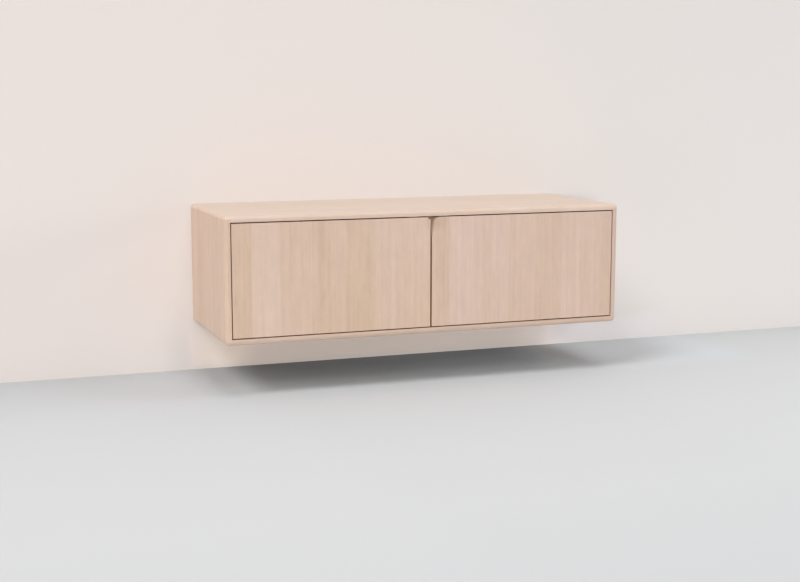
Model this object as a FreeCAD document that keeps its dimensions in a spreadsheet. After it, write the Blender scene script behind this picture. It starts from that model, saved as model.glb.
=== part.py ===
import FreeCAD, Part
import math
import os
import sys

import Sketcher

# Wall-hung media console: a mitred, veneered carcass with softly rounded outer
# edges, two inset side-hinged doors, a centre partition, two shelves, and an
# interlocking pair of steel hanging rails behind a recessed back panel.
#
# Frame: X to the right, Y into the wall, Z up. The wall plane is Y = 0 and the
# fronts of the doors lie at Y = -depth. Z = 0 is the line of the wall screws.

V = FreeCAD.Vector
doc = FreeCAD.newDocument("floating_media_console")

# --------------------------------------------------------------------------
# driving dimensions
# --------------------------------------------------------------------------
sheet = doc.addObject("Spreadsheet::Sheet", "Sizes")


class Q:
    """A length that knows its value and the sheet expression that gives it."""

    def __init__(self, value, text):
        self.v = float(value)
        self.e = text

    def __add__(self, other):
        other = q(other)
        return Q(self.v + other.v, "(%s + %s)" % (self.e, other.e))

    def __radd__(self, other):
        return q(other) + self

    def __sub__(self, other):
        other = q(other)
        return Q(self.v - other.v, "(%s - %s)" % (self.e, other.e))

    def __rsub__(self, other):
        return q(other) - self

    def __mul__(self, other):
        other = q(other)
        return Q(self.v * other.v, "(%s * %s)" % (self.e, other.e))

    def __rmul__(self, other):
        return q(other) * self

    def __truediv__(self, other):
        other = q(other)
        return Q(self.v / other.v, "(%s / %s)" % (self.e, other.e))

    def __neg__(self):
        return Q(-self.v, "(0 - %s)" % self.e)


def q(value):
    return value if isinstance(value, Q) else Q(value, "%.6f" % float(value))


cell_row = [0]


def cell(alias, value, note):
    cell_row[0] += 1
    row = cell_row[0]
    sheet.set("A%d" % row, alias)
    sheet.set("B%d" % row, "%g" % value)
    sheet.set("C%d" % row, note)
    sheet.setAlias("B%d" % row, alias)
    return Q(value, "Sizes." + alias)


width = cell("width", 1250, "outside width")
depth = cell("depth", 460, "door faces to wall")
height = cell("height", 371, "outside height")
board = cell("board", 18, "carcass board")
corner_round = cell("corner_round", 12, "rounding of the four long corners")
front_round = cell("front_round", 11.5, "rounding of the front outer edges")
top_level = cell("top_level", 91, "top face above the wall screws")
reveal = cell("reveal", 3, "gap beside and below the doors")
top_gap = cell("top_gap", 3.5, "gap above the doors")
meeting_gap = cell("meeting_gap", 5, "gap between the two doors")
door_board = cell("door_board", 20, "door thickness")
door_ease = cell("door_ease", 1, "eased door edges")
back_inset = cell("back_inset", 28, "back panel to wall")
back_board = cell("back_board", 6, "back panel thickness")
groove = cell("groove", 6, "groove depth for the back panel")
partition_gap = cell("partition_gap", 2, "door backs to partition edge")
stretcher_high = cell("stretcher_high", 70, "height of the hanging stretcher")
stretcher_board = cell("stretcher_board", 18, "hanging stretcher thickness")
shelf_set_back = cell("shelf_set_back", 50, "shelf front edge behind the door faces")
pin_pitch = cell("pin_pitch", 32, "spacing of the shelf pin holes")
pin_radius = cell("pin_radius", 2.5, "shelf pin")
rail_steel = cell("rail_steel", 2.5, "rail sheet thickness")
rail_long = cell("rail_long", 1180, "length of the wall rail")
slot_pitch = cell("slot_pitch", 320, "spacing of the wall screw slots")
slot_radius = cell("slot_radius", 3, "half width of a slot")
slot_long = cell("slot_long", 14, "end to end length of a slot")
cable_radius = cell("cable_radius", 27, "clear radius of the cable outlets")
cable_hole = cell("cable_hole", 30, "hole in the back panel")
cable_across = cell("cable_across", 300, "cable outlets from the middle")
cable_level = cell("cable_level", -200, "height of the cable outlets")
notch_wide = cell("notch_wide", 80, "cable notch in the bottom panel")
notch_deep = cell("notch_deep", 22, "depth of the cable notch")
hinge_end = cell("hinge_end", 70, "hinge from the door's end")
axis_in = cell("axis_in", 27, "hinge axis from the carcass side")
axis_deep = cell("axis_deep", 11.5, "hinge axis behind the door face")
cup_in = cell("cup_in", 31, "hinge cup centre from the carcass side")
cup_radius = cell("cup_radius", 17.5, "hinge cup")
cup_deep = cell("cup_deep", 12.5, "hinge cup depth")
cup_wall = cell("cup_wall", 0.8, "hinge cup sheet")
arm_steel = cell("arm_steel", 3.5, "hinge arm thickness")
arm_half = cell("arm_half", 6, "half the height of a hinge arm")
hinge_pin = cell("hinge_pin", 1.5, "hinge pin radius")
hinge_play = cell("hinge_play", 0.05, "radial play of the pin in the arm")
doc.recompute()

# derived lengths
half = width / 2
inner = half - board                     # inner face of a side panel
top_out = top_level
top_in = top_level - board
bot_out = top_level - height
bot_in = bot_out + board
front = -depth
door_back = front + door_board
door_top = top_in - top_gap
door_bot = bot_in + reveal
partition_front = door_back + partition_gap
back_rear = -back_inset
back_face = back_rear - back_board


# --------------------------------------------------------------------------
# helpers
# --------------------------------------------------------------------------
def bind(obj, prop, value):
    value = q(value)
    if "Sizes." in value.e:
        obj.setExpression(prop, value.e)
    elif prop.startswith("Placement.Base."):
        base = obj.Placement.Base
        setattr(base, prop[-1], value.v)
        obj.Placement = FreeCAD.Placement(base, obj.Placement.Rotation)
    else:
        setattr(obj, prop, value.v)


def place(obj, x, y, z):
    for axis, value in zip("xyz", (x, y, z)):
        bind(obj, "Placement.Base." + axis, value)


def box(label, x0, x1, y0, y1, z0, z1):
    obj = doc.addObject("Part::Box", label)
    bind(obj, "Length", q(x1) - q(x0))
    bind(obj, "Width", q(y1) - q(y0))
    bind(obj, "Height", q(z1) - q(z0))
    place(obj, x0, y0, z0)
    return obj


TURN = {
    "x": FreeCAD.Rotation(V(0, 1, 0), 90),
    "y": FreeCAD.Rotation(V(1, 0, 0), -90),
    "z": FreeCAD.Rotation(),
}


def cylinder(label, x, y, z, axis, radius, length):
    obj = doc.addObject("Part::Cylinder", label)
    obj.Placement = FreeCAD.Placement(V(0, 0, 0), TURN[axis])
    bind(obj, "Radius", radius)
    bind(obj, "Height", length)
    place(obj, x, y, z)
    return obj


def cone(label, x, y, z, axis, radius_1, radius_2, length):
    obj = doc.addObject("Part::Cone", label)
    obj.Placement = FreeCAD.Placement(V(0, 0, 0), TURN[axis])
    bind(obj, "Radius1", radius_1)
    bind(obj, "Radius2", radius_2)
    bind(obj, "Height", length)
    place(obj, x, y, z)
    return obj


def fuse(label, shapes):
    obj = doc.addObject("Part::MultiFuse", label)
    obj.Shapes = shapes
    obj.Refine = True
    return obj


def cut(label, base, tools):
    if len(tools) == 1:
        tool = tools[0]
    else:
        tool = doc.addObject("Part::MultiFuse", label + "_tools")
        tool.Shapes = tools
    obj = doc.addObject("Part::Cut", label)
    obj.Base = base
    obj.Tool = tool
    return obj


def common(label, base, tool):
    obj = doc.addObject("Part::Common", label)
    obj.Base = base
    obj.Tool = tool
    return obj


def group(label, parts):
    obj = doc.addObject("Part::Compound", label)
    obj.Links = parts
    return obj


def origin_plane(body, role):
    for item in body.Origin.OriginFeatures:
        if item.Role == role:
            return item
    raise RuntimeError("no " + role)


def sketch_on(body, label, role, offset):
    """A sketch on one of the body's own planes, moved along the plane's normal."""
    sk = body.newObject("Sketcher::SketchObject", label)
    sk.AttachmentSupport = [(origin_plane(body, role), "")]
    sk.MapMode = "FlatFace"
    offset = q(offset)
    sk.AttachmentOffset = FreeCAD.Placement(V(0, 0, offset.v), FreeCAD.Rotation())
    if "Sizes." in offset.e:
        sk.setExpression("AttachmentOffset.Base.z", offset.e)
    return sk


def fix_point(sk, geo, pos, x, y):
    """Locates a point of the sketch from the origin, through the sheet."""
    for kind, value, other in (("DistanceX", q(x), -2), ("DistanceY", q(y), -1)):
        if abs(value.v) < 1e-9 and "Sizes." not in value.e:
            sk.addConstraint(Sketcher.Constraint("PointOnObject", geo, pos, other))
            continue
        index = sk.addConstraint(Sketcher.Constraint(kind, -1, 1, geo, pos, value.v))
        if "Sizes." in value.e:
            sk.setExpression("Constraints[%d]" % index, value.e)


def polygon(sk, points):
    points = [(q(x), q(y)) for x, y in points]
    first = sk.GeometryCount
    count = len(points)
    for i in range(count):
        a, b = points[i], points[(i + 1) % count]
        sk.addGeometry(Part.LineSegment(V(a[0].v, a[1].v, 0), V(b[0].v, b[1].v, 0)), False)
    for i in range(count):
        sk.addConstraint(Sketcher.Constraint("Coincident", first + i, 2, first + (i + 1) % count, 1))
    for i in range(count):
        fix_point(sk, first + i, 1, points[i][0], points[i][1])


def circle(sk, x, y, radius):
    x, y, radius = q(x), q(y), q(radius)
    geo = sk.addGeometry(Part.Circle(V(x.v, y.v, 0), V(0, 0, 1), radius.v), False)
    index = sk.addConstraint(Sketcher.Constraint("Radius", geo, radius.v))
    if "Sizes." in radius.e:
        sk.setExpression("Constraints[%d]" % index, radius.e)
    fix_point(sk, geo, 3, x, y)


def prism(label, role, points, low, high):
    """A body padded from a polygon. XZ sketches look along +Y, so their pad runs
    from the high Y to the low Y."""
    body = doc.addObject("PartDesign::Body", label)
    low, high = q(low), q(high)
    offset = -high if role == "XZ_Plane" else low
    sk = sketch_on(body, label + "_profile", role, offset)
    polygon(sk, points)
    pad = body.newObject("PartDesign::Pad", label + "_pad")
    pad.Profile = sk
    bind(pad, "Length", high - low)
    doc.recompute()
    return body


def rectangle(x0, x1, y0, y1):
    return [(x0, y0), (x1, y0), (x1, y1), (x0, y1)]


def edge_names(shape, test):
    return ["Edge%d" % (i + 1) for i, edge in enumerate(shape.Edges) if test(edge)]


def round_edges(body, label, radius, test, kind="PartDesign::Fillet"):
    base = body.Tip
    names = edge_names(base.Shape, test)
    if not names:
        raise RuntimeError("no edges for " + label)
    obj = body.newObject(kind, label)
    obj.Base = (base, names)
    bind(obj, "Radius" if kind.endswith("Fillet") else "Size", radius)
    body.Tip = obj
    doc.recompute()
    return obj


def upright(x, y):
    """Picks edges along Z that stand at (x, y)."""
    def test(edge):
        box_ = edge.BoundBox
        return (box_.XLength < 1e-6 and box_.YLength < 1e-6
                and abs(box_.XMin - x) < 1e-3 and abs(box_.YMin - y) < 1e-3)
    return test


# --------------------------------------------------------------------------
# outside shape of the carcass: a block with rounded long corners and front
# --------------------------------------------------------------------------
envelope = prism("carcass_envelope", "XZ_Plane", rectangle(-half, half, bot_out, top_out), front, 0)


def long_corner(edge):
    b = edge.BoundBox
    return b.XLength < 1e-6 and b.ZLength < 1e-6 and b.YLength > 1


round_edges(envelope, "carcass_corners", corner_round, long_corner)
round_edges(envelope, "carcass_front", front_round,
            lambda e: e.BoundBox.YLength < 1e-6 and abs(e.BoundBox.YMin - front.v) < 1e-6)

# --------------------------------------------------------------------------
# tools shared by the boards
# --------------------------------------------------------------------------
back_slot = box("back_panel_groove", -inner - groove, inner + groove, back_face, back_rear,
                bot_in - groove, top_in + groove)


def spline_points(sx, sz):
    """A loose tongue across a mitre: 14 wide, 4 thick, square to the joint."""
    cx = (inner + 7) * sx
    cz = (top_in + 7) if sz > 0 else (bot_in - 7)
    a, b = 7.0 / math.sqrt(2), 2.0 / math.sqrt(2)
    corners = [(-a - b, -a + b), (-a + b, -a - b), (a + b, a - b), (a - b, a + b)]
    return [(cx + sx * u, cz + sz * w) for u, w in corners]


splines = {}
for name, sx, sz in (("top_left", -1, 1), ("top_right", 1, 1), ("bottom_left", -1, -1), ("bottom_right", 1, -1)):
    splines[name] = prism(name + "_spline", "XZ_Plane", spline_points(sx, sz), -440, -40)

# --------------------------------------------------------------------------
# carcass boards, mitred at the corners
# --------------------------------------------------------------------------
top_blank = prism("top_panel_board", "XZ_Plane",
                  [(-half, top_out), (-inner, top_in), (inner, top_in), (half, top_out)], front, 0)
bottom_blank = prism("bottom_panel_board", "XZ_Plane",
                     [(-half, bot_out), (half, bot_out), (inner, bot_in), (-inner, bot_in)], front, 0)
side_blanks = {}
for side, s in (("left", -1), ("right", 1)):
    blank = prism(side + "_side_board", "XZ_Plane",
                  [(half * s, bot_out), (half * s, top_out), (inner * s, top_in), (inner * s, bot_in)],
                  front, 0)
    # two columns of shelf pin holes, drilled from the inner face
    mid = (top_in + bot_in) / 2
    first_hole = mid - board / 2 - pin_radius - pin_pitch * 2
    sk = sketch_on(blank, side + "_pin_hole_sketch", "YZ_Plane", inner * s)
    circle(sk, -350, first_hole, pin_radius)
    circle(sk, -70, first_hole, pin_radius)
    before = blank.Shape.Volume
    pocket = blank.newObject("PartDesign::Pocket", side + "_pin_holes")
    pocket.Profile = sk
    pocket.Length = 9
    pocket.Reversed = s > 0
    doc.recompute()
    pattern = blank.newObject("PartDesign::LinearPattern", side + "_pin_columns")
    pattern.Originals = [pocket]
    pattern.Direction = (sk, ["V_Axis"])
    pattern.Occurrences = 5
    bind(pattern, "Length", pin_pitch * 4)
    blank.Tip = pattern
    doc.recompute()
    drilled = (before - blank.Shape.Volume) / (math.pi * pin_radius.v ** 2 * 9)
    if abs(drilled - 10) > 0.01:
        raise RuntimeError("%s panel has %.2f pin holes" % (side, drilled))
    side_blanks[side] = blank

# dowels between partition and boards, and between stretcher and sides
partition_dowels = []
for y in (-120, -236, -350):
    for name, z in (("top", top_in - 12), ("bottom", bot_in - 12)):
        partition_dowels.append(cylinder("partition_dowel_%s_%d" % (name, -y), 0, y, z, "z", 4, 24))
stretcher_mid = -(back_inset - stretcher_board / 2)
stretcher_dowels = []
for side, s in (("left", -1), ("right", 1)):
    for k in (0, 1):
        z = top_in - stretcher_high / 2 - 17 + 34 * k
        x = -inner - 12 if s < 0 else inner - 12
        stretcher_dowels.append(cylinder("stretcher_dowel_%s_%d" % (side, k), x, stretcher_mid, z, "x", 4, 24))

# screw positions: (x, y, z, direction of the head)
hinge_levels = (("upper", door_top - hinge_end), ("lower", door_bot + hinge_end))
catch_mid = 45.0
plate_screws, arm_screws, cup_screws = [], [], {"left": [], "right": []}
for side, s in (("left", -1), ("right", 1)):
    for level, z in hinge_levels:
        for dz in (-16, 16):
            plate_screws.append(((inner - 2.5) * s, front + 57, z + dz, V(-s, 0, 0)))
            cup_screws[side].append(((inner - cup_in - 6) * s, door_back + 1.2, z + dz * 1.5, V(0, 1, 0)))
        arm_screws.append(((inner - 8 - arm_steel) * s, front + 72, z, V(-s, 0, 0)))
catch_screws = [(s * catch_mid + dx, front + 30, top_in - 3, V(0, 0, -1))
                for s in (-1, 1) for dx in (-19.0, 19.0)]
strike_screws = [(s * catch_mid, door_back + 1.2, top_in - 10, V(0, 1, 0)) for s in (-1, 1)]
rail_screws = [(x, -back_inset + stretcher_board + rail_steel, top_in - 25, V(0, 1, 0))
               for x in (-500, -300, -100, 100, 300, 500)]


def drill(label, spots, radius, length):
    """Pilot holes below the heads of the listed screws, as one tool."""
    shapes = []
    for x, y, z, way in spots:
        point = V(q(x).v, q(y).v, q(z).v)
        shapes.append(Part.makeCylinder(radius, length, point, V(-way.x, -way.y, -way.z)))
    obj = doc.addObject("Part::Feature", label)
    obj.Shape = Part.makeCompound(shapes)
    return obj


SCREW = {"plate": (2.5, 14.0), "arm": (2.0, 9.0), "cup": (1.75, 12.0), "catch": (1.5, 13.0),
         "strike": (1.5, 11.0), "rail": (2.0, 16.0)}
holes = {
    "plate": drill("hinge_plate_pilots", plate_screws, *SCREW["plate"]),
    "arm": drill("hinge_arm_pilots", arm_screws, *SCREW["arm"]),
    "left_cup": drill("left_cup_pilots", cup_screws["left"], *SCREW["cup"]),
    "right_cup": drill("right_cup_pilots", cup_screws["right"], *SCREW["cup"]),
    "catch": drill("catch_pilots", catch_screws, *SCREW["catch"]),
    "strike": drill("strike_pilots", strike_screws, *SCREW["strike"]),
    "rail": drill("cabinet_rail_pilots", rail_screws, *SCREW["rail"]),
}

notches = [box("cable_notch_" + n, s * cable_across - notch_wide / 2, s * cable_across + notch_wide / 2,
               -notch_deep, 1, bot_out - 1, bot_in + 1) for n, s in (("left", -1), ("right", 1))]

top_panel = cut("top_panel", common("top_panel_rounded", top_blank, envelope),
                [back_slot, splines["top_left"], splines["top_right"], holes["catch"]]
                + [d for d in partition_dowels if "top" in d.Name])
bottom_panel = cut("bottom_panel", common("bottom_panel_rounded", bottom_blank, envelope),
                   [back_slot, splines["bottom_left"], splines["bottom_right"]] + notches
                   + [d for d in partition_dowels if "bottom" in d.Name])
side_panels = {}
for side in ("left", "right"):
    side_panels[side] = cut(side + "_side_panel", common(side + "_side_rounded", side_blanks[side], envelope),
                            [back_slot, splines["top_" + side], splines["bottom_" + side], holes["plate"]]
                            + [d for d in stretcher_dowels if side in d.Name])
mitre_splines = group("mitre_splines", [splines[n] for n in ("top_left", "top_right", "bottom_left", "bottom_right")])
partition_dowel_set = group("partition_dowels", partition_dowels)
stretcher_dowel_set = group("stretcher_dowels", stretcher_dowels)

# --------------------------------------------------------------------------
# centre partition, with pin holes right through for both shelves
# --------------------------------------------------------------------------
partition_body = prism("partition_board", "XZ_Plane", rectangle(-board / 2, board / 2, bot_in, top_in),
                       partition_front, back_face)
pin_first = (top_in + bot_in) / 2 - board / 2 - pin_radius - pin_pitch * 2
sk = sketch_on(partition_body, "partition_pin_hole_sketch", "YZ_Plane", board / 2)
circle(sk, -350, pin_first, pin_radius)
circle(sk, -70, pin_first, pin_radius)
pocket = partition_body.newObject("PartDesign::Pocket", "partition_pin_holes")
pocket.Profile = sk
pocket.Type = "ThroughAll"
doc.recompute()
pattern = partition_body.newObject("PartDesign::LinearPattern", "partition_pin_columns")
pattern.Originals = [pocket]
pattern.Direction = (sk, ["V_Axis"])
pattern.Occurrences = 5
bind(pattern, "Length", pin_pitch * 4)
partition_body.Tip = pattern
doc.recompute()
centre_partition = cut("centre_partition", partition_body, partition_dowels)

# --------------------------------------------------------------------------
# back panel with two cable outlets and their grommets
# --------------------------------------------------------------------------
back_body = prism("back_board_sheet", "XZ_Plane",
                  rectangle(-inner - groove, inner + groove, bot_in - groove, top_in + groove),
                  back_face, back_rear)
outlet_tools = [cylinder("cable_hole_" + n, s * cable_across, back_face - 1, cable_level, "y", cable_hole,
                         back_board + 2) for n, s in (("left", -1), ("right", 1))]
back_panel = cut("back_panel", back_body, outlet_tools)
for name, s in (("left", -1), ("right", 1)):
    x = s * cable_across
    flange = cone(name + "_grommet_flange", x, back_face - 2, cable_level, "y", cable_hole + 2.5, cable_hole + 4, 2)
    sleeve = cylinder(name + "_grommet_sleeve", x, back_face, cable_level, "y", cable_hole, 8)
    clear = cylinder(name + "_grommet_bore", x, back_face - 3, cable_level, "y", cable_radius, 13)
    cut(name + "_cable_grommet", fuse(name + "_grommet_ring", [flange, sleeve]), [clear])

# --------------------------------------------------------------------------
# hanging stretcher and the two interlocking rails
# --------------------------------------------------------------------------
stretcher_rear = back_rear + stretcher_board
stretcher_blank = prism("stretcher_board_blank", "XZ_Plane",
                        rectangle(-inner, inner, top_in - stretcher_high, top_in), back_rear, stretcher_rear)
hanging_stretcher = cut("hanging_stretcher", stretcher_blank, stretcher_dowels + [holes["rail"]])

lip_top = q(32.5)
cabinet_rail_body = prism("cabinet_rail_profile", "YZ_Plane", [
    (stretcher_rear, lip_top), (-2 - rail_steel, lip_top), (-2 - rail_steel, 14.5), (-2, 14.5),
    (-2, lip_top + rail_steel), (stretcher_rear + rail_steel, lip_top + rail_steel),
    (stretcher_rear + rail_steel, 60), (stretcher_rear, 60)], -rail_long / 2 + 30, rail_long / 2 - 30)
cabinet_rail = cut("cabinet_rail", cabinet_rail_body, [holes["rail"]])

wall_rail = prism("wall_rail", "YZ_Plane", [
    (0, -18), (0, 12.5), (-5, 12.5), (-5, lip_top), (-5 - rail_steel, lip_top), (-5 - rail_steel, 12.5 - rail_steel),
    (-rail_steel, 12.5 - rail_steel), (-rail_steel, -18)], -rail_long / 2, rail_long / 2)
sk = sketch_on(wall_rail, "wall_screw_slot", "XZ_Plane", rail_steel)
centre = -slot_pitch * 1.5
run = slot_long / 2 - slot_radius
a = sk.addGeometry(Part.LineSegment(V((centre - run).v, 3, 0), V((centre + run).v, 3, 0)), False)
b = sk.addGeometry(Part.ArcOfCircle(Part.Circle(V((centre + run).v, 0, 0), V(0, 0, 1), 3), -math.pi / 2, math.pi / 2), False)
c = sk.addGeometry(Part.LineSegment(V((centre + run).v, -3, 0), V((centre - run).v, -3, 0)), False)
d = sk.addGeometry(Part.ArcOfCircle(Part.Circle(V((centre - run).v, 0, 0), V(0, 0, 1), 3), math.pi / 2, 3 * math.pi / 2), False)
sk.addConstraint(Sketcher.Constraint("Tangent", a, 2, b, 2))
sk.addConstraint(Sketcher.Constraint("Tangent", b, 1, c, 1))
sk.addConstraint(Sketcher.Constraint("Tangent", c, 2, d, 2))
sk.addConstraint(Sketcher.Constraint("Tangent", d, 1, a, 1))
index = sk.addConstraint(Sketcher.Constraint("Radius", b, slot_radius.v))
sk.setExpression("Constraints[%d]" % index, slot_radius.e)
fix_point(sk, b, 3, centre + run, 0)
fix_point(sk, d, 3, centre - run, 0)
before = wall_rail.Shape.Volume
slot = wall_rail.newObject("PartDesign::Pocket", "wall_screw_slot_cut")
slot.Profile = sk
slot.Type = "ThroughAll"
slot.Midplane = True
doc.recompute()
slots = wall_rail.newObject("PartDesign::LinearPattern", "wall_screw_slots")
slots.Originals = [slot]
slots.Direction = (sk, ["H_Axis"])
slots.Occurrences = 4
bind(slots, "Length", slot_pitch * 3)
wall_rail.Tip = slots
doc.recompute()
slot_area = math.pi * 9 + 6 * (slot_long.v - 6)
removed = (before - wall_rail.Shape.Volume) / (slot_area * rail_steel.v)
if abs(removed - 4) > 0.02:
    raise RuntimeError("wall rail has %.3f slots" % removed)

# --------------------------------------------------------------------------
# shelves and their pins
# --------------------------------------------------------------------------
shelf_low = (top_in + bot_in) / 2 - board / 2
shelf_front = front + shelf_set_back
for side, s in (("left", -1), ("right", 1)):
    near, far = (board / 2 + 1) * s, (inner - 1) * s
    low, high = (far, near) if s < 0 else (near, far)
    shelf = prism(side + "_shelf", "XZ_Plane", rectangle(low, high, shelf_low, shelf_low + board),
                  shelf_front, back_face - 3)
    round_edges(shelf, side + "_shelf_edges", door_ease,
                lambda e: e.BoundBox.YLength < 1e-6 and abs(e.BoundBox.YMin - shelf_front.v) < 1e-6
                and e.BoundBox.XLength > 1)
pin_level = shelf_low - pin_radius
pins = []
for side, s in (("left", -1), ("right", 1)):
    for place_name, wall_x, way in (("outer", inner * s, -s), ("middle", board / 2 * s, s)):
        for y in (-350, -70):
            tag = "%s_pin_%s_%d" % (side, place_name, -y)
            depth_in = 8.0
            start = wall_x - depth_in * way if way > 0 else wall_x - 7.0
            pins.append(cylinder(tag, start, y, pin_level, "x", pin_radius, depth_in + 7))
shelf_pins = group("shelf_pins", pins)

# --------------------------------------------------------------------------
# doors
# --------------------------------------------------------------------------
leaf = {}
for side, s in (("left", -1), ("right", 1)):
    near, far = meeting_gap / 2 * s, (inner - reveal) * s
    low, high = (far, near) if s < 0 else (near, far)
    blank = prism(side + "_door_leaf", "XZ_Plane", rectangle(low, high, door_bot, door_top), front, door_back)
    round_edges(blank, side + "_door_eased", door_ease,
                lambda e: e.BoundBox.YLength < 1e-6 and abs(e.BoundBox.YMin - front.v) < 1e-6)
    leaf[side] = blank


def scoop(label, s, sections):
    """A finger hollow at a door's top inner corner. Each section is (distance
    below the door's top, width on the door face, depth at the door's edge); the
    hollow's floor is a shallow arc from the face down to the edge."""
    wires = []
    for below, wide, deep in sections:
        z = door_top.v - below

        def at(e, d):
            return V(s * (meeting_gap.v / 2 + e), front.v + d, z)

        rise = math.atan2(deep, wide)
        turn = min(math.radians(14), math.radians(84) - rise)
        chord = math.hypot(wide, deep)
        sag = chord / 2 * math.tan(turn / 2)
        rim, edge = (wide, 0.0), (0.0, deep)
        middle = (wide / 2 + sag * deep / chord, deep / 2 + sag * wide / chord)
        outside = (wide + 1.0 / math.tan(rise + turn), -1.0)
        beyond = (-0.6, deep + 0.6 * math.tan(rise - turn))
        points = [at(*outside), at(*rim), at(*edge), at(*beyond), at(-0.6, -1.0)]
        wires.append(Part.Wire([
            Part.makeLine(points[0], points[1]),
            Part.Arc(points[1], at(*middle), points[2]).toShape(),
            Part.makeLine(points[2], points[3]),
            Part.makeLine(points[3], points[4]),
            Part.makeLine(points[4], points[0])]))
    obj = doc.addObject("Part::Feature", label)
    obj.Shape = Part.makeLoft(wires, True, False)
    return obj


right_sections = []
for below in (-1.0, 1.0, 3.0, 5.5, 9.0, 13.0, 18.0, 24.0, 31.0, 38.0, 45.0, 51.0, 56.0, 60.0):
    f = 1 - max(below, 0) / 62.0
    right_sections.append((below, 15.0 * f ** 1.15 + 8.0 * math.exp(-max(below, -1.0) / 4.5), 17.0 * f ** 0.75))
left_sections = []
for below in (-1.0, 1.0, 2.5, 4.0, 5.5, 6.8):
    f = 1 - max(below, 0) / 8.0
    left_sections.append((below, 9.5 * f ** 0.7 + 0.5, 14.0 * f ** 0.7))
right_scoop = scoop("right_door_scoop", 1, right_sections)
left_scoop = scoop("left_door_scoop", -1, left_sections)

# --------------------------------------------------------------------------
# hinges: a cup in the door, a cranked arm on a plate on the carcass side, and
# one pin through the two
# --------------------------------------------------------------------------
cup_tools = {"left": [], "right": []}
axis_y = front + axis_deep
for side, s in (("left", -1), ("right", 1)):
    for level, z in hinge_levels:
        tag = "%s_%s_hinge" % (side, level)
        cx = (inner - cup_in) * s
        px = (inner - axis_in) * s
        floor_y = door_back - cup_deep
        # cup
        bowl = cylinder(tag + "_bowl", cx, floor_y, z, "y", cup_radius, cup_deep)
        cup_tools[side].append(cylinder(tag + "_bore", cx, floor_y, z, "y", cup_radius, cup_deep + 1))
        rim = cylinder(tag + "_rim", cx, door_back, z, "y", cup_radius + 2, 1.2)
        ear_x = (inner - cup_in - 6) * s
        ear = prism(tag + "_ears", "XZ_Plane", rectangle(ear_x - 7.5, ear_x + 7.5, z - 31, z + 31),
                    door_back, door_back + 1.2)
        round_edges(ear, tag + "_ear_corners", 6,
                    lambda e: e.BoundBox.XLength < 1e-6 and e.BoundBox.ZLength < 1e-6 and e.BoundBox.YLength > 0.5)
        hollow = cylinder(tag + "_hollow", cx, floor_y + cup_wall, z, "y", cup_radius - cup_wall, cup_deep + 2)
        shell = cut(tag + "_shell", fuse(tag + "_pressing", [bowl, rim, ear]), [hollow, holes[side + "_cup"]])
        lugs = [box(tag + "_lug_" + n, px - 3, px + 3, floor_y + cup_wall, axis_y + 3, z0, z0 + 2.5)
                for n, z0 in (("high", z + arm_half + 0.5), ("low", z - arm_half - 3))]
        pin = cylinder(tag + "_pin", px, axis_y, z - arm_half - 3, "z", hinge_pin, arm_half * 2 + 6)
        cut(tag + "_cup", fuse(tag + "_cup_blank", [shell] + lugs), [pin])
        # arm: an angular crank that clears the door's inner end as it swings in
        out = [(8, 88), (8, 38.5), (40, 38.5), (40, 13.25), (27, 13.25), (27, 9.75),
               (43.5, 9.75), (43.5, 42), (11.5, 42), (11.5, 88)]
        crank = prism(tag + "_crank", "XY_Plane", [((inner - u) * s, front + w) for u, w in out],
                      z - arm_half, z + arm_half)
        for k, (u, w, r) in enumerate(((43.5, 9.75, 3.0), (43.5, 42, 4.5), (8, 38.5, 4.5), (40, 38.5, 1.2),
                                       (40, 13.25, 1.2), (11.5, 42, 1.2))):
            round_edges(crank, "%s_crank_bend_%d" % (tag, k), r, upright((inner.v - u) * s, front.v + w))
        eye = cylinder(tag + "_eye", px, axis_y, z - arm_half, "z", 2.8, arm_half * 2)
        eye_bore = cylinder(tag + "_eye_bore", px, axis_y, z - arm_half - 1, "z", hinge_pin + hinge_play,
                            arm_half * 2 + 2)
        cut(tag + "_arm", fuse(tag + "_arm_blank", [crank, eye]), [eye_bore, holes["arm"]])
        # mounting plate: raised body with two wings
        bx = (inner - 8) * s if s > 0 else -inner
        wx = (inner - 2.5) * s if s > 0 else -inner
        raised = box(tag + "_plate_body", bx, bx + 8, front + 46, front + 82, z - 7, z + 7)
        wings = prism(tag + "_plate_wings", "YZ_Plane", rectangle(front + 49, front + 65, z - 24, z + 24),
                      wx, wx + 2.5)
        round_edges(wings, tag + "_wing_corners", 6,
                    lambda e: e.BoundBox.YLength < 1e-6 and e.BoundBox.ZLength < 1e-6 and e.BoundBox.XLength > 0.5)
        cut(tag + "_plate", fuse(tag + "_plate_blank", [raised, wings]), [holes["plate"], holes["arm"]])

left_door = cut("left_door", leaf["left"], cup_tools["left"] + [holes["left_cup"], holes["strike"], left_scoop])
right_door = cut("right_door", leaf["right"], cup_tools["right"] + [holes["right_cup"], holes["strike"], right_scoop])

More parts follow.
